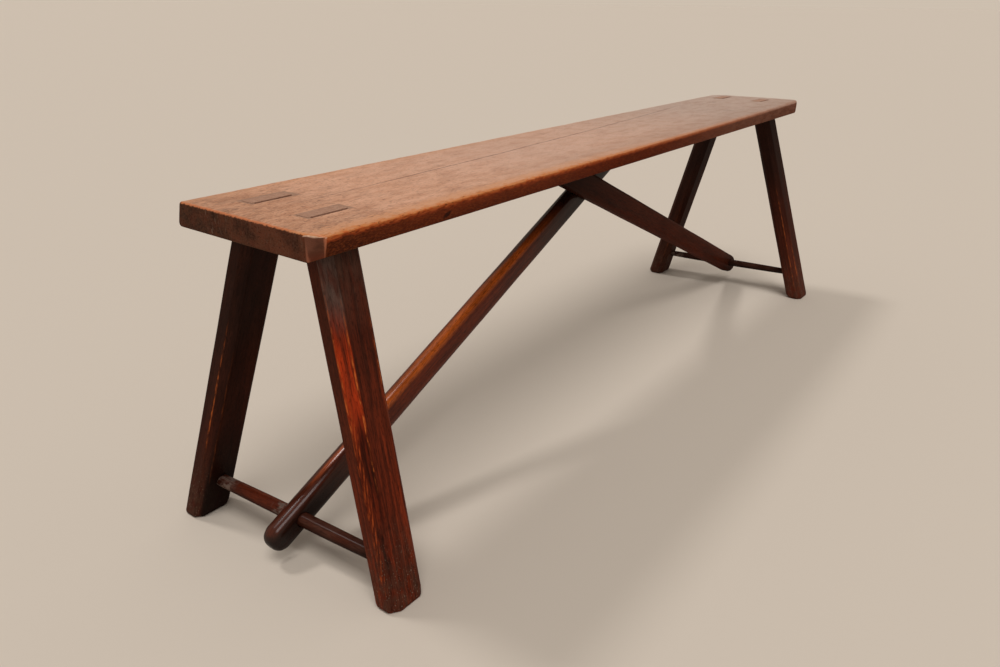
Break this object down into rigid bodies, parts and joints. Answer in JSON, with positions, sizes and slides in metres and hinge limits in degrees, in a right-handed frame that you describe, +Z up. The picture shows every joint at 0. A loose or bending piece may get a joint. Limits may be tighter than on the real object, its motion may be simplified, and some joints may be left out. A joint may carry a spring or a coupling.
{
  "type": "bench",
  "caption": "Long narrow plank bench on splayed chamfered legs, with round end stretchers and crossed braces that rise from the stretchers to the underside of the seat.",
  "frame": {"origin": "on the floor under the middle of the bench's outline box", "axes": "+X along the seat towards its right-hand end, which is the far end in the picture; +Y from the front side to the back; +Z up"},
  "size_m": [1.4832, 0.418, 0.46],
  "materials": {
    "seat_wood": "waxed satin, worn paler on top",
    "leg_wood": "dark wax, satin, arrises worn red-brown",
    "wedge_wood": "dry end grain",
    "stretcher_wood": "dark wax, semi-gloss",
    "brace_wood": "dark wax, semi-gloss, rubbed brighter in places",
    "nail_iron": "blackened hand-wrought iron"
  },
  "bodies": {
    "root": {"seat_board": "seat_wood", "leg_left_front": "leg_wood", "leg_left_back": "leg_wood", "leg_right_front": "leg_wood", "leg_right_back": "leg_wood", "tenon_wedge_left_front": "wedge_wood", "tenon_wedge_left_back": "wedge_wood", "tenon_wedge_right_front": "wedge_wood", "tenon_wedge_right_back": "wedge_wood", "end_stretcher_left": "stretcher_wood", "end_stretcher_right": "stretcher_wood", "brace_left": "brace_wood", "brace_right": "brace_wood", "brace_nail_left_1": "nail_iron", "brace_nail_left_2": "nail_iron", "brace_nail_right_1": "nail_iron", "brace_nail_right_2": "nail_iron", "crossing_nail": "nail_iron"}
  },
  "joints": []
}
